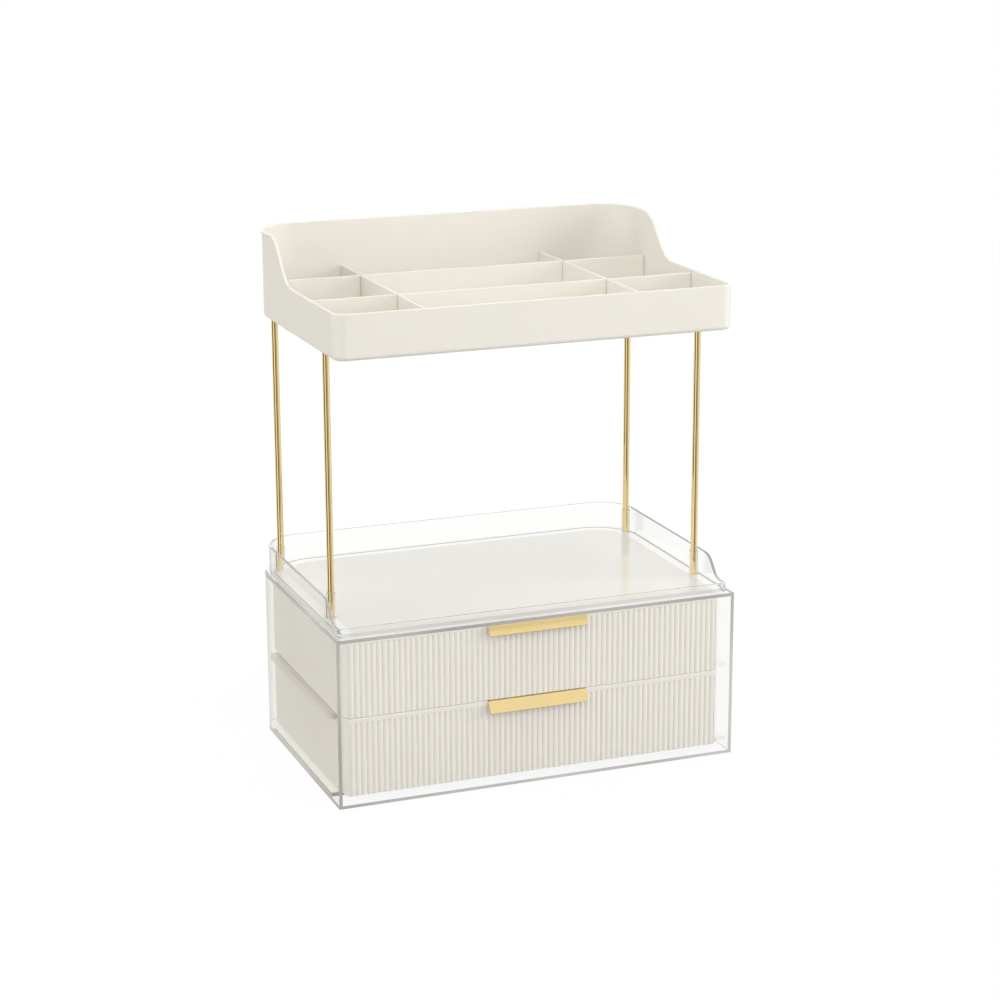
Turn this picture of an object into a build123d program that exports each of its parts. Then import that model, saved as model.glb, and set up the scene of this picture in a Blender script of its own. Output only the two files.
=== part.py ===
from build123d import *
import os

# Makeup organizer: a clear case with two reeded drawers, a clear shelf tray on top of it,
# and a cream tray with dividers held above on four gold rods.
# Millimetres, +Z up, front towards -Y, origin under the middle of the case, on the table.
# Depths are measured backwards from the front plane of the case.

os.makedirs("parts", exist_ok=True)

# Clear case
CASE_W = 300.0
CASE_D = 198.0
CASE_H = 122.5
CASE_T = 2.5
CASE_R = 30.0
CASE_EDGE = 0.5
CASE_IN_HALF = CASE_W / 2 - CASE_T
CASE_IN_R = CASE_R - CASE_T

# Gaps round the drawers, and under seated clear pieces
RUN_GAP = 0.2
SEAT_GAP = 0.05
SIDE_GAP = 4.9
BACK_GAP = 4.0
SEAM_GAP = 0.3
TOP_GAP = 0.4
UNDER_RAIL_GAP = 0.4

# Runner strips, which reach from the case's walls in under the drawers
RAIL_UNDER = 3.1
RAIL_W = SIDE_GAP + RAIL_UNDER - SEAT_GAP
RAIL_BACK_GAP = 3.0
RAIL_END = CASE_D - CASE_R - RAIL_BACK_GAP
MID_RAIL_T = 4.8
MID_RAIL_NOSE = 4.5
MID_RAIL_START = 23.0
FLOOR_RAIL_T = 2.85
FLOOR_RAIL_NOSE = 2.0
FLOOR_RAIL_START = 20.0

# Drawers
DRAWER_HALF = CASE_IN_HALF - SIDE_GAP
DRAWER_FRONT = 7.0
DRAWER_BACK = CASE_D - CASE_T - BACK_GAP
DRAWER_R_FRONT = 5.3
DRAWER_R_STEP = 3.5
DRAWER_R_BACK = CASE_IN_R - DRAWER_R_STEP
LOWER_Z = CASE_T + SEAT_GAP + FLOOR_RAIL_T + RUN_GAP
DRAWER_H = (CASE_H - CASE_T - LOWER_Z - SEAM_GAP - TOP_GAP) / 2
UPPER_Z = LOWER_Z + DRAWER_H + SEAM_GAP
DRAWER_T = 2.2
DRAWER_FRONT_T = 3.2
DRAWER_FLOOR = 2.2
DRAWER_BASE_EDGE = 0.6
DRAWER_RIM_EDGE = 0.6
DRAWER_LOW_RIM = UPPER_Z - RUN_GAP - MID_RAIL_T - UNDER_RAIL_GAP - LOWER_Z
DRAWER_STEP_RUN = 8.0
DRAWER_STEP_END = MID_RAIL_START + 1.0
DRAWER_STEP = (DRAWER_STEP_END - DRAWER_STEP_RUN, DRAWER_STEP_END)
DRAWER_STEP_EASE = 3.5

# Reeds on the drawer fronts, under a plain band: they run on into the round corners
# until these fall back as far as the roots of the reeds
BAND_H = 3.4
REED_PITCH = 4.1
REED_DEPTH = 0.9
REED_SET = 0.1
REED_ROOT = REED_SET + REED_DEPTH
REED_REACH = DRAWER_HALF - DRAWER_R_FRONT + (2 * DRAWER_R_FRONT * REED_ROOT - REED_ROOT**2) ** 0.5
REED_COUNT = round(2 * REED_REACH / REED_PITCH)

# Edge pulls
PULL_HALF = 37.2
PULL_T = 0.9
PULL_LEG = 10.0
PULL_NOSE = 0.6
PULL_OUT = 5.2
PULL_DROP = 7.7
PULL_BEND = 0.6
PULL_CORNER = 1.2
PULL_SIDE_GAP = 0.15

# Rods
ROD_D = 4.8
ROD_INSET = 11.1
ROD_BACK_INSET = 31.0
ROD_X = CASE_W / 2 - ROD_INSET
ROD_Y_FRONT = 44.7
ROD_Y_BACK = CASE_D - ROD_BACK_INSET
ROD_END = 0.4
ROD_GAP = 0.05

# Shelf tray on the case
SHELF_Z = CASE_H + SEAT_GAP
GALLERY_PAST_ROD = 7.8
GALLERY_BACK_SET = 1.5
GALLERY_HALF = ROD_X + GALLERY_PAST_ROD
GALLERY_FRONT = 5.0
GALLERY_BACK = CASE_D - GALLERY_BACK_SET
GALLERY_R_FRONT = 3.0
GALLERY_R_BACK = CASE_R - GALLERY_BACK_SET
GALLERY_T = 2.2
GALLERY_FLOOR = 2.2
GALLERY_RIM = 20.5
GALLERY_RIM_EDGE = 0.6
GALLERY_LIP = 6.0
GALLERY_RISE_RUN = 26.5
GALLERY_RISE_END = ROD_Y_FRONT - 5.2
GALLERY_RISE = (GALLERY_RISE_END - GALLERY_RISE_RUN, GALLERY_RISE_END)
GALLERY_RISE_EASE = 14.5
SOCKET_D = 6.3

# Raised tray
TRAY_RAISE = 192.5
TRAY_PAST_ROD = 7.1
TRAY_BACK_SET = 1.5
TRAY_Z = CASE_H + TRAY_RAISE
TRAY_HALF = ROD_X + TRAY_PAST_ROD
TRAY_FRONT = 0.2
TRAY_BACK = CASE_D - TRAY_BACK_SET
TRAY_R_FRONT = 9.0
TRAY_R_BACK = 32.0
TRAY_T = 2.2
TRAY_FLOOR = 2.4
TRAY_LOW = 32.0
TRAY_HIGH = 63.0
TRAY_BASE_EDGE = 3.0
TRAY_RIM_EDGE = 0.7
TRAY_RISE_RUN = 52.0
TRAY_RISE_END = TRAY_BACK - 44.5
TRAY_RISE = (TRAY_RISE_END - TRAY_RISE_RUN, TRAY_RISE_END)
TRAY_RISE_EASE = 25.0
BEAD_R = 1.2
BOSS_D = 10.0
BOSS_H = 14.0
BOSS_ROOF = 2.5

# Dividers
DIV_T = 2.0
DIV_BELOW_RIM = 2.5
DIV_H = TRAY_LOW - TRAY_FLOOR - DIV_BELOW_RIM
DIV_EDGE = 0.5
DIV_GAP = 0.3
DIV_SLOT_GAP = 0.2
DIV_REAR_CELL = 47.0
DIV_REAR_Y = TRAY_BACK - DIV_REAR_CELL
DIV_FRONT_Y = 68.0
DIV_SIDE_CELL = 67.5
DIV_CROSS_X = TRAY_HALF - DIV_SIDE_CELL

# Overshoot of cutting blocks
PAST = 5.0

ON_FLOOR = (Align.CENTER, Align.CENTER, Align.MIN)


def from_front(depth):
    return depth - CASE_D / 2


def block(half, front, back, r_front, r_back, z, height):
    """Upright block with one radius on its front corners and one on its back corners."""
    face = Pos(0, from_front((front + back) / 2)) * Rectangle(2 * half, back - front)
    if r_back > 0:
        face = fillet(face.vertices().group_by(Axis.Y)[-1], r_back)
    if r_front > 0:
        face = fillet(face.vertices().group_by(Axis.Y)[0], r_front)
    return Pos(0, 0, z) * extrude(face, height)


def soften_base(solid, radius):
    return fillet(solid.faces().sort_by(Axis.Z)[0].edges(), radius)


def soften_rim(solid, level, radius):
    """Round the edges of a wall top: those that only one upward face above the level has."""
    tops = [face for face in solid.faces() if face.center().Z > level and face.normal_at(face.center()).Z > 0]
    edges = [edge for face in tops for edge in face.edges()]
    rims = [edge for edge in edges if sum(edge.is_same(other) for other in edges) == 1]
    return fillet(rims, radius)


def above_wall_top(reach, low, high, ease, top):
    """Block across the whole width, above a wall top that runs level and then eases up to a higher level."""
    towards = 1 if high[0] > low[0] else -1
    low_point = (from_front(low[0]), low[1])
    high_point = (from_front(high[0]), high[1])
    low_pull = (low_point[0] + towards * ease, low[1])
    high_pull = (high_point[0] - towards * ease, high[1])
    end = from_front(reach)
    edges = [
        Line((end, low[1]), low_point),
        Bezier(low_point, low_pull, high_pull, high_point),
        Line(high_point, (high_point[0], top)),
        Line((high_point[0], top), (end, top)),
        Line((end, top), (end, low[1])),
    ]
    return extrude(Plane.YZ * make_face(Wire(edges)), CASE_W, both=True)


def upright(x, y, z, diameter, height):
    return Pos(x, y, z) * Cylinder(diameter / 2, height, align=ON_FLOOR)


def rod_places():
    places = {}
    for row, depth in (("front", ROD_Y_FRONT), ("back", ROD_Y_BACK)):
        for side, sign in (("left", -1), ("right", 1)):
            places["rod_" + row + "_" + side] = (sign * ROD_X, from_front(depth))
    return places


def make_case():
    shell = block(CASE_W / 2, 0, CASE_D, 0, CASE_R, 0, CASE_H)
    ends = shell.faces().sort_by(Axis.Z)
    shell = fillet(ends[0].edges() + ends[-1].edges(), CASE_EDGE)
    room_h = CASE_H - 2 * CASE_T
    shell = shell - block(CASE_IN_HALF, -PAST, CASE_D - CASE_T, 0, CASE_IN_R, CASE_T, room_h)
    return shell


def make_rail(side, start, z, thickness):
    x = side * (CASE_IN_HALF - SEAT_GAP - RAIL_W / 2)
    y = from_front((start + RAIL_END) / 2)
    return Pos(x, y, z) * Box(RAIL_W, RAIL_END - start, thickness, align=ON_FLOOR)


def front_edge(rail, top):
    """The upper or lower edge across the front end of a runner strip."""
    edges = rail.edges().filter_by(Axis.X).group_by(Axis.Y)[0].sort_by(Axis.Z)
    return edges[-1] if top else edges[0]


def make_floor_rail(side):
    rail = make_rail(side, FLOOR_RAIL_START, CASE_T + SEAT_GAP, FLOOR_RAIL_T)
    return fillet(front_edge(rail, top=True), FLOOR_RAIL_NOSE)


def make_mid_rail(side):
    rail = make_rail(side, MID_RAIL_START, UPPER_Z - RUN_GAP - MID_RAIL_T, MID_RAIL_T)
    return fillet(front_edge(rail, top=False), MID_RAIL_NOSE)


def between_reeds(height):
    """The spaces between and in front of the half-round reeds of a drawer front."""
    half = REED_PITCH * REED_COUNT / 2
    crest = from_front(DRAWER_FRONT + REED_SET)
    root = from_front(DRAWER_FRONT + REED_ROOT)
    clear = from_front(DRAWER_FRONT) - PAST
    edges = [
        Line((half, root), (half, clear)),
        Line((half, clear), (-half, clear)),
        Line((-half, clear), (-half, root)),
    ]
    for i in range(REED_COUNT):
        left = i * REED_PITCH - half
        middle = left + REED_PITCH / 2
        right = left + REED_PITCH
        edges.append(ThreePointArc((left, root), (middle, crest), (right, root)))
    return extrude(make_face(Wire(edges)), height)


def make_drawer(z):
    tub = block(DRAWER_HALF, DRAWER_FRONT, DRAWER_BACK, DRAWER_R_FRONT, DRAWER_R_BACK, 0, DRAWER_H)
    tub = soften_base(tub, DRAWER_BASE_EDGE)
    tub = tub - block(
        DRAWER_HALF - DRAWER_T,
        DRAWER_FRONT + DRAWER_FRONT_T,
        DRAWER_BACK - DRAWER_T,
        DRAWER_R_FRONT - DRAWER_T,
        DRAWER_R_BACK - DRAWER_T,
        DRAWER_FLOOR,
        DRAWER_H,
    )
    high = (DRAWER_STEP[0], DRAWER_H)
    low = (DRAWER_STEP[1], DRAWER_LOW_RIM)
    tub = tub - above_wall_top(DRAWER_BACK + PAST, low, high, DRAWER_STEP_EASE, DRAWER_H + PAST)
    tub = soften_rim(tub, DRAWER_LOW_RIM - DRAWER_RIM_EDGE, DRAWER_RIM_EDGE)
    tub = tub - Pos(0, 0, -PAST) * between_reeds(DRAWER_H - BAND_H + PAST)
    seat_y = from_front(DRAWER_FRONT + DRAWER_FRONT_T / 2)
    seat = Box(2 * (PULL_HALF + PULL_SIDE_GAP), DRAWER_FRONT_T + PAST, 2 * PULL_T)
    tub = tub - Pos(0, seat_y, DRAWER_H) * seat
    return Pos(0, 0, z) * tub


def make_pull(z):
    """Bent strip: a leg inside the drawer, a flat over the rim and a slanting lip in front."""
    top = DRAWER_H
    inner = from_front(DRAWER_FRONT + DRAWER_FRONT_T)
    nose = from_front(DRAWER_FRONT - PULL_NOSE)
    slope = (PULL_OUT**2 + PULL_DROP**2) ** 0.5
    off_y = PULL_T * PULL_DROP / slope
    off_z = PULL_T * PULL_OUT / slope
    under_run = (PULL_T - off_z) * PULL_OUT / PULL_DROP
    tip = (nose - PULL_OUT, top - PULL_DROP)
    points = [
        (inner + PULL_T, top - PULL_LEG),
        (inner + PULL_T, top),
        (nose, top),
        tip,
        (tip[0] + off_y, tip[1] - off_z),
        (nose + off_y - under_run, top - PULL_T),
        (inner, top - PULL_T),
        (inner, top - PULL_LEG),
    ]
    strip = extrude(Plane.YZ * make_face(Polyline(*points, close=True)), PULL_HALF, both=True)
    corners = strip.edges().filter_by(Plane.YZ).group_by(Axis.Y)[0]
    strip = fillet(corners, PULL_CORNER)
    bends = strip.edges().filter_by(Axis.X).group_by(Axis.Z)[-1]
    return Pos(0, 0, z) * fillet(bends, PULL_BEND)


def make_gallery():
    z = SHELF_Z
    rim = z + GALLERY_RIM
    tray = block(GALLERY_HALF, GALLERY_FRONT, GALLERY_BACK, GALLERY_R_FRONT, GALLERY_R_BACK, z, GALLERY_RIM)
    tray = tray - block(
        GALLERY_HALF - GALLERY_T,
        GALLERY_FRONT + GALLERY_T,
        GALLERY_BACK - GALLERY_T,
        GALLERY_R_FRONT - GALLERY_T,
        GALLERY_R_BACK - GALLERY_T,
        z + GALLERY_FLOOR,
        GALLERY_RIM,
    )
    low = (GALLERY_RISE[0], z + GALLERY_LIP)
    high = (GALLERY_RISE[1], rim)
    tray = tray - above_wall_top(-PAST, low, high, GALLERY_RISE_EASE, rim + PAST)
    tray = soften_rim(tray, z + GALLERY_LIP - GALLERY_RIM_EDGE, GALLERY_RIM_EDGE)
    foot = z + GALLERY_FLOOR / 2
    for x, y in rod_places().values():
        tray = tray + upright(x, y, foot, SOCKET_D, rim - foot)
        tray = tray - upright(x, y, z + GALLERY_FLOOR, ROD_D + 2 * ROD_GAP, GALLERY_RIM)
    return tray


def make_rods():
    bottom = SHELF_Z + GALLERY_FLOOR + SEAT_GAP
    top = TRAY_Z + BOSS_H - BOSS_ROOF
    rods = {}
    for name, (x, y) in rod_places().items():
        rod = upright(x, y, bottom, ROD_D, top - bottom)
        rods[name] = chamfer(rod.edges().filter_by(GeomType.CIRCLE), ROD_END)
    return rods


def make_bead():
    """Half-round bead outside the top of the tray's high back, with round ends."""
    side = from_front(TRAY_RISE[1])
    back = from_front(TRAY_BACK)
    z = TRAY_Z + TRAY_HIGH - BEAD_R
    inset = TRAY_R_BACK * (1 - 0.5**0.5)
    start = (-TRAY_HALF, side, z)
    end = (TRAY_HALF, side, z)
    left_side = (-TRAY_HALF, back - TRAY_R_BACK, z)
    left_back = (TRAY_R_BACK - TRAY_HALF, back, z)
    right_back = (TRAY_HALF - TRAY_R_BACK, back, z)
    right_side = (TRAY_HALF, back - TRAY_R_BACK, z)
    path = Wire([
        Line(start, left_side),
        ThreePointArc(left_side, (inset - TRAY_HALF, back - inset, z), left_back),
        Line(left_back, right_back),
        ThreePointArc(right_back, (TRAY_HALF - inset, back - inset, z), right_side),
        Line(right_side, end),
    ])
    bead = sweep(Plane(origin=start, z_dir=(0, 1, 0)) * Circle(BEAD_R), path)
    return bead + Pos(*start) * Sphere(BEAD_R) + Pos(*end) * Sphere(BEAD_R)


def make_tray():
    tray = block(TRAY_HALF, TRAY_FRONT, TRAY_BACK, TRAY_R_FRONT, TRAY_R_BACK, TRAY_Z, TRAY_HIGH)
    tray = soften_base(tray, TRAY_BASE_EDGE)
    room = block(
        TRAY_HALF - TRAY_T,
        TRAY_FRONT + TRAY_T,
        TRAY_BACK - TRAY_T,
        TRAY_R_FRONT - TRAY_T,
        TRAY_R_BACK - TRAY_T,
        TRAY_Z + TRAY_FLOOR,
        TRAY_HIGH,
    )
    tray = tray - room
    low = (TRAY_RISE[0], TRAY_Z + TRAY_LOW)
    high = (TRAY_RISE[1], TRAY_Z + TRAY_HIGH)
    tray = tray - above_wall_top(-PAST, low, high, TRAY_RISE_EASE, TRAY_Z + TRAY_HIGH + PAST)
    tray = soften_rim(tray, TRAY_Z + TRAY_LOW - TRAY_RIM_EDGE, TRAY_RIM_EDGE)
    tray = tray + (make_bead() - room)
    foot = TRAY_Z + TRAY_FLOOR / 2
    for x, y in rod_places().values():
        tray = tray + upright(x, y, foot, BOSS_D, BOSS_H - TRAY_FLOOR / 2)
        tray = tray - upright(x, y, TRAY_Z - PAST, ROD_D + 2 * ROD_GAP, BOSS_H - BOSS_ROOF + PAST)
    return tray


def make_divider(x, y, size_x, size_y):
    """Upright strip on the tray's floor with its long top edges rounded."""
    strip = Pos(x, y, TRAY_Z + TRAY_FLOOR) * Box(size_x, size_y, DIV_H, align=ON_FLOOR)
    along = Axis.X if size_x > size_y else Axis.Y
    return fillet(strip.edges().filter_by(along).group_by(Axis.Z)[-1], DIV_EDGE)


def make_dividers():
    """Two long strips slotted from above and two cross strips slotted from below."""
    floor = TRAY_Z + TRAY_FLOOR
    slot = DIV_T + 2 * DIV_SLOT_GAP
    cutter = Box(slot, slot, DIV_H, align=ON_FLOOR)
    long_x = 2 * (TRAY_HALF - TRAY_T - DIV_GAP)
    cross_y = TRAY_BACK - TRAY_FRONT - 2 * TRAY_T - 2 * DIV_GAP
    middle = from_front((TRAY_BACK + TRAY_FRONT) / 2)
    rows = {"rear": from_front(DIV_REAR_Y), "front": from_front(DIV_FRONT_Y)}
    sides = {"left": -DIV_CROSS_X, "right": DIV_CROSS_X}
    dividers = {}
    for row, y in rows.items():
        strip = make_divider(0, y, long_x, DIV_T)
        for x in sides.values():
            strip = strip - Pos(x, y, floor + DIV_H / 2) * cutter
        dividers["divider_" + row + "_long"] = strip
    for side, x in sides.items():
        strip = make_divider(x, middle, DIV_T, cross_y)
        for y in rows.values():
            strip = strip - Pos(x, y, floor - DIV_H / 2) * cutter
        dividers["divider_" + side + "_cross"] = strip
    return dividers


pieces = {
    "case_shell": make_case(),
    "gallery_tray": make_gallery(),
    "upper_tray": make_tray(),
    "lower_drawer": make_drawer(LOWER_Z),
    "upper_drawer": make_drawer(UPPER_Z),
    "lower_handle": make_pull(LOWER_Z),
    "upper_handle": make_pull(UPPER_Z),
}
for side, sign in (("left", -1), ("right", 1)):
    pieces["floor_rail_" + side] = make_floor_rail(sign)
    pieces["mid_rail_" + side] = make_mid_rail(sign)
pieces.update(make_rods())
pieces.update(make_dividers())

for name, piece in pieces.items():
    solids = piece.solids()
    print(name, len(solids), round(piece.volume), solids[0].is_valid)
    export_step(solids[0], "parts/" + name + ".step")
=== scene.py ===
import math

import bpy
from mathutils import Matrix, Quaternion, Vector

# A makeup organizer: clear case and shelf tray, cream drawers and tray, gold rods and pulls.
# Metres, front towards -Y.

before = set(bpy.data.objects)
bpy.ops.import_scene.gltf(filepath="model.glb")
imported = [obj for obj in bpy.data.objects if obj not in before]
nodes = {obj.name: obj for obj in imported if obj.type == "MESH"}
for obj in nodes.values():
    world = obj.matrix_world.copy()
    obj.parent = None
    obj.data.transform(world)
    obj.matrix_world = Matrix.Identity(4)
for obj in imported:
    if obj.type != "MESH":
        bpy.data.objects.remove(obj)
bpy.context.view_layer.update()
scene = bpy.context.scene
scene.view_settings.view_transform = "Standard"

# Camera: turns in degrees, lens and sensor in millimetres
CAMERA_PLACE = (-0.6356, -1.6605, 0.6664)
CAMERA_YAW = 21.19
CAMERA_PITCH = 15.25
CAMERA_ROLL = -0.22
CAMERA_LENS = 91.2
CAMERA_SENSOR = 36.0

# Light: where each soft lamp stands, in degrees from the front towards +X and above the floor,
# and how bright it makes a white card that faces it
AMBIENT = 0.4
WHITE = (1.0, 1.0, 1.0, 1.0)
AIM = (0.0, 0.0, 0.19)
LAMP_DISTANCE = 3.0
LAMP_SIZE = 2.0
LAMPS = {
    "key": {"azimuth": 62.0, "elevation": 12.0, "level": 0.6},
    "front": {"azimuth": -10.0, "elevation": 30.0, "level": 0.34},
    "fill": {"azimuth": -88.0, "elevation": 18.0, "level": 0.39},
    "rear": {"azimuth": 172.0, "elevation": 20.0, "level": 0.53},
    "top": {"azimuth": 0.0, "elevation": 85.0, "level": 0.27},
}

# Dark flags round the object that only mirrored rays meet: from and to, in degrees from the front
# towards +X, and colour
WARM_FLAG = (0.08, 0.055, 0.015, 1.0)
HALF_FLAG = (0.5, 0.46, 0.36, 1.0)
GREY_FLAG = (0.7, 0.665, 0.58, 1.0)
FLAGS = [
    (5.0, 40.0, HALF_FLAG),
    (115.0, 130.0, WARM_FLAG),
    (185.0, 212.0, GREY_FLAG),
    (248.0, 285.0, WARM_FLAG),
    (330.0, 357.0, WARM_FLAG),
]
FLAG_SOFT = 2.0
FULL_TURN = 360.0

# Floor: a disc that ends where the lamps still make it as white as the background
FLOOR_R = 2.4
FLOOR_SIDES = 96
FLOOR_DROP = 0.0003
FLOOR_COLOUR = (0.93, 0.93, 0.92, 1.0)
FLOOR_BOUNCE = (0.45, 0.45, 0.44, 1.0)
FLOOR_WHITE = 0.92
FLOOR_ROUGH = 0.9

# Which nodes have which finish
CLEAR_NODES = ["case_shell", "gallery_tray"]
MID_RAIL_NODES = ["mid_rail_left", "mid_rail_right"]
FLOOR_RAIL_NODES = ["floor_rail_left", "floor_rail_right"]
ROD_NODES = [name for name in nodes if name.startswith("rod_")]
HANDLE_NODES = ["lower_handle", "upper_handle"]
NOT_CREAM = CLEAR_NODES + MID_RAIL_NODES + FLOOR_RAIL_NODES + ROD_NODES + HANDLE_NODES
CREAM_NODES = [name for name in nodes if name not in NOT_CREAM]

# Noise: waves per metre, how much finer waves are added, and the part of its range that is used
COLOUR_WAVES = 14.0
ROUGH_WAVES = 60.0
GRAIN_WAVES = 160.0
CLEAR_ROUGH_WAVES = 30.0
CLEAR_BUMP_WAVES = 22.0
EDGE_WAVES = 9.0
RAIL_WAVES = 30.0
NOISE_DETAIL = 3.0
GRAIN_DETAIL = 2.0
SMOOTH_DETAIL = 1.0
BRUSHED_DETAIL = 4.0
NOISE_ENDS = (0.3, 0.7)

# Cream plastic. Colours here and below are linear; a bump has a height and a strength
CREAM_LIGHT = (0.83, 0.80, 0.735, 1.0)
CREAM_DARK = (0.815, 0.785, 0.715, 1.0)
CREAM_ROUGH = (0.28, 0.34)
CREAM_BUMP = (0.0001, 0.02)
CREAM_IOR = 1.49

# Gold: the grain is in waves per metre along each axis
GOLD_BUMP = (0.00005, 0.05)
ROD_GOLD = {
    "dark": (0.85, 0.67, 0.32, 1.0),
    "light": (0.91, 0.745, 0.4, 1.0),
    "rough": (0.03, 0.07),
    "grain": (400.0, 400.0, 8.0),
}
HANDLE_GOLD = {
    "dark": (0.88, 0.68, 0.32, 1.0),
    "light": (0.92, 0.72, 0.355, 1.0),
    "rough": (0.3, 0.42),
    "grain": (12.0, 600.0, 600.0),
}

# Clear plastic. Light that has turned more often than this inside it is lost, and there the edge is
# painted light: a grey glow in place of the tone of light trapped in the sheet
CLEAR_TINT = (0.996, 0.995, 0.988, 1.0)
CLEAR_SHADOW = (0.985, 0.987, 0.985, 1.0)
CLEAR_ROUGH = (0.0, 0.02)
CLEAR_BUMP = (0.0004, 0.03)
CLEAR_IOR = 1.42
CLEAR_DEPTHS = {"Glossy Depth": 1, "Transmission Depth": 9}
EDGE_GLOW_DARK = (0.38, 0.375, 0.355, 1.0)
EDGE_GLOW_LIGHT = (0.60, 0.595, 0.575, 1.0)

# Runner strips
RAIL_WHITE = (0.95, 0.945, 0.92, 1.0)
RAIL_ROUGH = (0.1, 0.2)
FLOOR_RAIL_IOR = 1.1
MID_RAIL_COVER = 0.5

# The shelf's faces that look up, between these heights, are milky: they let this share of light
# through. The cream tone fills a sheet with round back corners, and a white strip is left round it.
# The sheet is cut from a cube with rounded edges, its centre at floor level, so at the shelf's height
# its sides and back lie 3 to 4 mm inside the cube's own
SHELF_HEIGHTS = (0.120, 0.1252)
SHELF_HALF = 0.1467
SHELF_THROUGH = 0.2
SHELF_ROUGH = 0.12
SHEET_HALF = 0.140
SHEET_FRONT = -0.094
SHEET_BACK = 0.087
SHEET_R = 0.03
MILK = (0.86, 0.845, 0.80, 1.0)
STRIP_WHITE = (0.99, 0.99, 0.985, 1.0)

# A painted shade line at the foot of the shelf tray's walls, standing in for the shade and refraction
# there, between these two margins round that cube
FOOT_LINE = (0.006, 0.008)
FOOT_PAINTED_SHADE = (0.5, 0.495, 0.48, 1.0)

# Painted shade: the shelf's colour is darkened towards its front left corner: the way the painted shade
# lifts, and from and to how far along it
SHELF_PAINTED_SHADE = (0.866, 0.866, 0.866, 1.0)
SHELF_SLOPE = (0.35, 1.0, 0.0)
SHELF_SLOPE_ENDS = (-0.13, -0.03)

# The case's own floor, between these heights, doesn't mirror what is above it; its edges still show, in
# the painted edge glow
CASE_FLOOR_HEIGHTS = (-0.001, 0.003)
LEVEL_LIMIT = 0.9

# Ways that a share runs, and the half step that lies between whole counts of a ray's turns
NONE_TO_ALL = (0.0, 1.0)
ALL_TO_NONE = (1.0, 0.0)
HALF_A_COUNT = 0.5


def make_camera():
    data = bpy.data.cameras.new("camera")
    data.lens = CAMERA_LENS
    data.sensor_width = CAMERA_SENSOR
    camera = bpy.data.objects.new("camera", data)
    scene.collection.objects.link(camera)
    yaw = math.radians(CAMERA_YAW)
    pitch = math.radians(CAMERA_PITCH)
    level = math.cos(pitch)
    forward = Vector((math.sin(yaw) * level, math.cos(yaw) * level, -math.sin(pitch)))
    roll = Quaternion((0, 0, 1), math.radians(CAMERA_ROLL))
    camera.location = CAMERA_PLACE
    camera.rotation_mode = "QUATERNION"
    camera.rotation_quaternion = forward.to_track_quat("-Z", "Y") @ roll
    scene.camera = camera


def make_lamp(name, azimuth, elevation, level):
    """A square lamp that lights the object but shows in no reflection and through no plastic."""
    data = bpy.data.lights.new(name, "AREA")
    data.size = LAMP_SIZE
    data.energy = level * (math.pi * LAMP_DISTANCE) ** 2
    lamp = bpy.data.objects.new(name, data)
    scene.collection.objects.link(lamp)
    turn = math.radians(azimuth)
    tilt = math.radians(elevation)
    out = Vector((math.sin(turn) * math.cos(tilt), -math.cos(turn) * math.cos(tilt), math.sin(tilt)))
    lamp.location = Vector(AIM) + out * LAMP_DISTANCE
    lamp.rotation_mode = "QUATERNION"
    lamp.rotation_quaternion = (-out).to_track_quat("-Z", "Y")
    lamp.visible_glossy = False
    lamp.visible_transmission = False


def feed(tree, value, socket):
    """Link a socket to another node's output, or give it a number or colour of its own."""
    if isinstance(value, bpy.types.NodeSocket):
        tree.links.new(value, socket)
    else:
        socket.default_value = value


def math_step(tree, operation, first, second):
    node = tree.nodes.new("ShaderNodeMath")
    node.operation = operation
    feed(tree, first, node.inputs[0])
    feed(tree, second, node.inputs[1])
    return node.outputs[0]


def vector_step(tree, operation, value, other=None):
    node = tree.nodes.new("ShaderNodeVectorMath")
    node.operation = operation
    tree.links.new(value, node.inputs[0])
    if other is not None:
        node.inputs[1].default_value = other
    return node.outputs["Value" if operation in ("LENGTH", "DOT_PRODUCT") else "Vector"]


def map_range(tree, value, start, end):
    """Carry a value from one range over to another, and hold it within that."""
    node = tree.nodes.new("ShaderNodeMapRange")
    tree.links.new(value, node.inputs["Value"])
    for name, number in zip(("From Min", "From Max", "To Min", "To Max"), (*start, *end)):
        feed(tree, number, node.inputs[name])
    return node.outputs["Result"]


def mix_colours(tree, share, first, second, blend="MIX"):
    node = tree.nodes.new("ShaderNodeMix")
    node.data_type = "RGBA"
    node.blend_type = blend
    tree.links.new(share, node.inputs["Factor"])
    feed(tree, first, node.inputs["A"])
    feed(tree, second, node.inputs["B"])
    return node.outputs["Result"]


def mix_shaders(tree, share, first, second):
    mix = tree.nodes.new("ShaderNodeMixShader")
    tree.links.new(share, mix.inputs[0])
    tree.links.new(first.outputs[0], mix.inputs[1])
    tree.links.new(second.outputs[0], mix.inputs[2])
    return mix


def own_place(tree):
    """The place in the object's own space."""
    return tree.nodes.new("ShaderNodeTexCoord").outputs["Object"]


def split_axes(tree, vector):
    split = tree.nodes.new("ShaderNodeSeparateXYZ")
    tree.links.new(vector, split.inputs[0])
    return split.outputs


def join_paths(tree, *kinds):
    """1 for rays of any of these kinds, else 0."""
    paths = tree.nodes.new("ShaderNodeLightPath")
    total = paths.outputs[kinds[0]]
    for kind in kinds[1:]:
        total = math_step(tree, "MAXIMUM", total, paths.outputs[kind])
    return total


def beyond(tree, kind, times):
    """1 for rays that have turned more than so many times in this way, else 0."""
    paths = tree.nodes.new("ShaderNodeLightPath")
    return math_step(tree, "GREATER_THAN", paths.outputs[kind], times + HALF_A_COUNT)


def once_mirrored(tree):
    """1 for rays that a polished surface has turned, until they scatter, else 0 or less."""
    mirrored = beyond(tree, "Glossy Depth", 0)
    return math_step(tree, "SUBTRACT", mirrored, join_paths(tree, "Is Diffuse Ray"))


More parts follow.
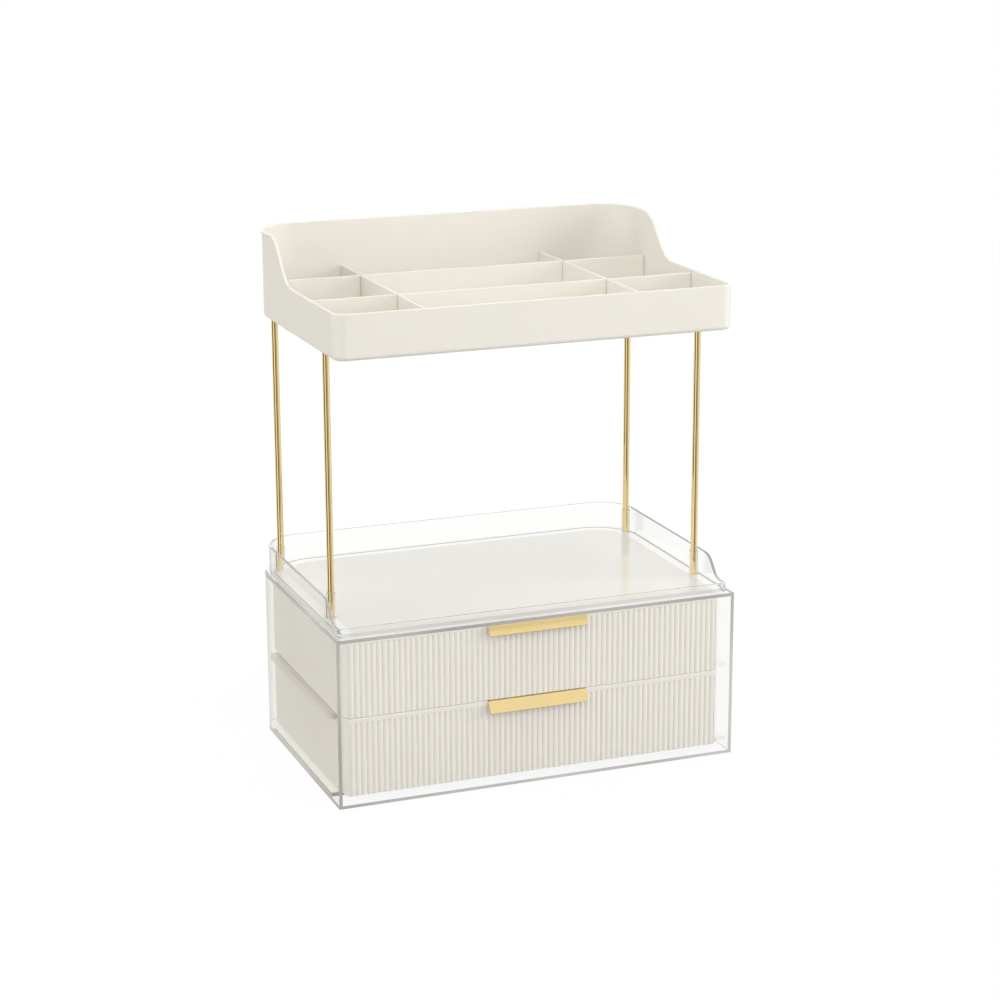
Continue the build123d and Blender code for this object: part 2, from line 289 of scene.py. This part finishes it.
def add_flags(tree):
    """White all round, with dark upright flags below the horizon."""
    axes = split_axes(tree, tree.nodes.new("ShaderNodeTexCoord").outputs["Generated"])
    angle = math_step(tree, "ARCTAN2", axes["X"], axes["Y"])
    ramp = tree.nodes.new("ShaderNodeValToRGB")
    stops = ramp.color_ramp.elements
    stops[0].color = WHITE
    stops[1].color = WHITE
    for start, end, dark in FLAGS:
        outline = ((start - FLAG_SOFT, WHITE), (start, dark), (end, dark), (end + FLAG_SOFT, WHITE))
        for degrees, colour in outline:
            stops.new(degrees / FULL_TURN).color = colour
    tree.links.new(map_range(tree, angle, (math.pi, -math.pi), NONE_TO_ALL), ramp.inputs["Fac"])
    below = math_step(tree, "LESS_THAN", axes["Z"], 0.0)
    return mix_colours(tree, below, WHITE, ramp.outputs["Color"])


def add_background(tree, colour, strength):
    node = tree.nodes.new("ShaderNodeBackground")
    feed(tree, colour, node.inputs["Color"])
    node.inputs["Strength"].default_value = strength
    return node


def make_world():
    """White where it is seen, flags where it is mirrored, and a soft light for all other rays."""
    world = bpy.data.worlds.new("studio")
    scene.world = world
    world.use_nodes = True
    tree = world.node_tree
    tree.nodes.clear()
    ambient = add_background(tree, WHITE, AMBIENT)
    seen = add_background(tree, WHITE, 1.0)
    mirrored = add_background(tree, add_flags(tree), 1.0)
    plain = mix_shaders(tree, join_paths(tree, "Is Camera Ray", "Is Transmission Ray"), ambient, seen)
    whole = mix_shaders(tree, once_mirrored(tree), plain, mirrored)
    output = tree.nodes.new("ShaderNodeOutputWorld")
    tree.links.new(whole.outputs[0], output.inputs["Surface"])


def new_material(name):
    material = bpy.data.materials.new(name)
    material.use_nodes = True
    return material, material.node_tree, material.node_tree.nodes["Principled BSDF"]


def add_noise(tree, scale, detail=NOISE_DETAIL, stretch=(1.0, 1.0, 1.0)):
    """Noise in the object's own space, in waves per metre."""
    mapping = tree.nodes.new("ShaderNodeMapping")
    mapping.inputs["Scale"].default_value = stretch
    noise = tree.nodes.new("ShaderNodeTexNoise")
    noise.inputs["Scale"].default_value = scale
    noise.inputs["Detail"].default_value = detail
    tree.links.new(own_place(tree), mapping.inputs["Vector"])
    tree.links.new(mapping.outputs["Vector"], noise.inputs["Vector"])
    return noise.outputs["Fac"]


def vary(tree, noise, ends):
    """A number that follows the noise between two values."""
    return map_range(tree, noise, NOISE_ENDS, ends)


def vary_colour(tree, noise, first, second):
    """A colour that follows the noise between two colours."""
    ramp = tree.nodes.new("ShaderNodeValToRGB")
    for stop, place, colour in zip(ramp.color_ramp.elements, NOISE_ENDS, (first, second)):
        stop.position = place
        stop.color = colour
    tree.links.new(noise, ramp.inputs["Fac"])
    return ramp.outputs["Color"]


def add_finish(tree, shader, colour, rough):
    tree.links.new(colour, shader.inputs["Base Color"])
    tree.links.new(rough, shader.inputs["Roughness"])


def add_bump(tree, noise, shader, size):
    height, strength = size
    bump = tree.nodes.new("ShaderNodeBump")
    bump.inputs["Strength"].default_value = strength
    bump.inputs["Distance"].default_value = height
    tree.links.new(noise, bump.inputs["Height"])
    tree.links.new(bump.outputs["Normal"], shader.inputs["Normal"])


def make_cream():
    material, tree, shader = new_material("cream_plastic")
    colour = vary_colour(tree, add_noise(tree, COLOUR_WAVES), CREAM_DARK, CREAM_LIGHT)
    add_finish(tree, shader, colour, vary(tree, add_noise(tree, ROUGH_WAVES), CREAM_ROUGH))
    add_bump(tree, add_noise(tree, GRAIN_WAVES, detail=GRAIN_DETAIL), shader, CREAM_BUMP)
    shader.inputs["IOR"].default_value = CREAM_IOR
    return material


def level_faces(tree, heights, downward):
    """1 on the level faces between two heights, with or without those that look down, else 0."""
    height = split_axes(tree, own_place(tree))["Z"]
    facing = split_axes(tree, tree.nodes.new("ShaderNodeTexCoord").outputs["Normal"])["Z"]
    above = math_step(tree, "GREATER_THAN", height, heights[0])
    below = math_step(tree, "LESS_THAN", height, heights[1])
    level = math_step(tree, "GREATER_THAN", facing, LEVEL_LIMIT)
    if downward:
        under = math_step(tree, "LESS_THAN", facing, -LEVEL_LIMIT)
        level = math_step(tree, "MAXIMUM", level, under)
    return math_step(tree, "MULTIPLY", math_step(tree, "MULTIPLY", above, below), level)


def between_sides(tree, half):
    """1 up to this far from the middle, to the left and right, else 0."""
    across = split_axes(tree, own_place(tree))["X"]
    left = math_step(tree, "GREATER_THAN", across, -half)
    right = math_step(tree, "LESS_THAN", across, half)
    return math_step(tree, "MULTIPLY", left, right)


def within_sheet(tree, margin=0.0):
    """1 inside the cube that the cream sheet is cut from, with this margin round it, else 0."""
    place = own_place(tree)
    straight = SHEET_HALF - SHEET_R
    off = vector_step(tree, "SUBTRACT", place, (0.0, SHEET_BACK - SHEET_HALF, 0.0))
    off = vector_step(tree, "ABSOLUTE", off)
    off = vector_step(tree, "SUBTRACT", off, (straight, straight, straight))
    off = vector_step(tree, "MAXIMUM", off, (0.0, 0.0, 0.0))
    inside = math_step(tree, "LESS_THAN", vector_step(tree, "LENGTH", off), SHEET_R + margin)
    behind_front = math_step(tree, "GREATER_THAN", split_axes(tree, place)["Y"], SHEET_FRONT)
    return math_step(tree, "MULTIPLY", inside, behind_front)


def shelf_colour(tree):
    """The cream sheet, the white strip round it and a painted shade line at the walls' foot, with painted
    shade at one corner.
    """
    inner, outer = (within_sheet(tree, margin) for margin in FOOT_LINE)
    # Painted shade: a grey line is mixed in between the two margins, at the walls' foot
    strip = mix_colours(tree, math_step(tree, "SUBTRACT", outer, inner), STRIP_WHITE, FOOT_PAINTED_SHADE)
    colour = mix_colours(tree, within_sheet(tree), strip, MILK)
    # Painted shade: the colour is multiplied darker towards the shelf's front left corner
    along = vector_step(tree, "DOT_PRODUCT", own_place(tree), SHELF_SLOPE)
    painted_shade_share = map_range(tree, along, SHELF_SLOPE_ENDS, ALL_TO_NONE)
    return mix_colours(tree, painted_shade_share, colour, SHELF_PAINTED_SHADE, blend="MULTIPLY")


def passing_rays(tree):
    """1 for lamp and bounced light, and on the case's floor for all but rays just inside it, else 0."""
    just_inside = math_step(
        tree, "SUBTRACT", beyond(tree, "Transmission Depth", 0), beyond(tree, "Transmission Depth", 1)
    )
    case_floor = level_faces(tree, CASE_FLOOR_HEIGHTS, downward=True)
    case_floor = math_step(tree, "SUBTRACT", case_floor, just_inside)
    return math_step(tree, "MAXIMUM", join_paths(tree, "Is Shadow Ray", "Is Diffuse Ray"), case_floor)


def make_clear():
    """Clear sheet for rays that are seen; lamps and bounced light pass straight through it."""
    material, tree, shader = new_material("clear_plastic")
    shader.inputs["IOR"].default_value = CLEAR_IOR
    shelf = level_faces(tree, SHELF_HEIGHTS, downward=False)
    shelf = math_step(tree, "MULTIPLY", shelf, between_sides(tree, SHELF_HALF))
    colour = mix_colours(tree, shelf, CLEAR_TINT, shelf_colour(tree))
    clear_rough = vary(tree, add_noise(tree, CLEAR_ROUGH_WAVES), CLEAR_ROUGH)
    add_finish(tree, shader, colour, map_range(tree, shelf, NONE_TO_ALL, (clear_rough, SHELF_ROUGH)))
    through_share = map_range(tree, shelf, NONE_TO_ALL, (1.0, SHELF_THROUGH))
    tree.links.new(through_share, shader.inputs["Transmission Weight"])
    add_bump(tree, add_noise(tree, CLEAR_BUMP_WAVES, detail=SMOOTH_DETAIL), shader, CLEAR_BUMP)
    through = tree.nodes.new("ShaderNodeBsdfTransparent")
    through.inputs["Color"].default_value = CLEAR_SHADOW
    lit = mix_shaders(tree, passing_rays(tree), shader, through)
    # Painted light: where rays are lost the sheet glows a fixed grey, which stands in for the edge's tone
    edge_glow = tree.nodes.new("ShaderNodeEmission")
    edge_noise = add_noise(tree, EDGE_WAVES, detail=SMOOTH_DETAIL)
    tree.links.new(vary_colour(tree, edge_noise, EDGE_GLOW_DARK, EDGE_GLOW_LIGHT), edge_glow.inputs["Color"])
    material.cycles.emission_sampling = "NONE"
    lost = [beyond(tree, kind, times) for kind, times in CLEAR_DEPTHS.items()]
    whole = mix_shaders(tree, math_step(tree, "MAXIMUM", *lost), lit, edge_glow)
    tree.links.new(whole.outputs[0], tree.nodes["Material Output"].inputs["Surface"])
    return material


def make_floor_rail():
    """Thin clear strips that lie against the clear floor."""
    material, tree, shader = new_material("floor_rail_plastic")
    colour = vary_colour(tree, add_noise(tree, RAIL_WAVES), CLEAR_TINT, RAIL_WHITE)
    add_finish(tree, shader, colour, vary(tree, add_noise(tree, ROUGH_WAVES), RAIL_ROUGH))
    shader.inputs["Transmission Weight"].default_value = 1.0
    shader.inputs["IOR"].default_value = FLOOR_RAIL_IOR
    return material


def make_mid_rail():
    """Clear strips that show the cream of the drawers behind them."""
    material, tree, shader = new_material("mid_rail_plastic")
    colour = vary_colour(tree, add_noise(tree, RAIL_WAVES), CREAM_DARK, CREAM_LIGHT)
    add_finish(tree, shader, colour, vary(tree, add_noise(tree, ROUGH_WAVES), RAIL_ROUGH))
    shader.inputs["Alpha"].default_value = MID_RAIL_COVER
    return material


def make_gold(name, dark, light, rough, grain):
    material, tree, shader = new_material(name)
    lines = add_noise(tree, 1.0, detail=BRUSHED_DETAIL, stretch=grain)
    add_finish(tree, shader, vary_colour(tree, lines, dark, light), vary(tree, lines, rough))
    add_bump(tree, lines, shader, GOLD_BUMP)
    shader.inputs["Metallic"].default_value = 1.0
    return material


def make_floor():
    """A white floor that keeps a faint shadow, and that mirrored rays don't meet."""
    mesh = bpy.data.meshes.new("floor")
    turns = [math.tau * side / FLOOR_SIDES for side in range(FLOOR_SIDES)]
    rim = [(FLOOR_R * math.cos(turn), FLOOR_R * math.sin(turn), -FLOOR_DROP) for turn in turns]
    mesh.from_pydata(rim, [], [range(FLOOR_SIDES)])
    floor = bpy.data.objects.new("floor", mesh)
    scene.collection.objects.link(floor)
    material, tree, shader = new_material("floor")
    colour = mix_colours(tree, join_paths(tree, "Is Diffuse Ray"), FLOOR_COLOUR, FLOOR_BOUNCE)
    tree.links.new(colour, shader.inputs["Base Color"])
    shader.inputs["Roughness"].default_value = FLOOR_ROUGH
    shader.inputs["Specular IOR Level"].default_value = 0.0
    white = tree.nodes.new("ShaderNodeEmission")
    white.inputs["Color"].default_value = WHITE
    seen = join_paths(tree, "Is Camera Ray", "Is Glossy Ray", "Is Transmission Ray")
    plain = mix_shaders(tree, math_step(tree, "MULTIPLY", seen, FLOOR_WHITE), shader, white)
    whole = mix_shaders(tree, once_mirrored(tree), plain, tree.nodes.new("ShaderNodeBsdfTransparent"))
    tree.links.new(whole.outputs[0], tree.nodes["Material Output"].inputs["Surface"])
    mesh.materials.append(material)


def dress(names, material):
    for name in names:
        for slot in nodes[name].material_slots:
            slot.material = material


make_camera()
make_world()
for name, lamp in LAMPS.items():
    make_lamp(name, **lamp)
make_floor()
dress(CREAM_NODES, make_cream())
dress(CLEAR_NODES, make_clear())
dress(MID_RAIL_NODES, make_mid_rail())
dress(FLOOR_RAIL_NODES, make_floor_rail())
dress(ROD_NODES, make_gold("gold_rod", **ROD_GOLD))
dress(HANDLE_NODES, make_gold("gold_handle", **HANDLE_GOLD))
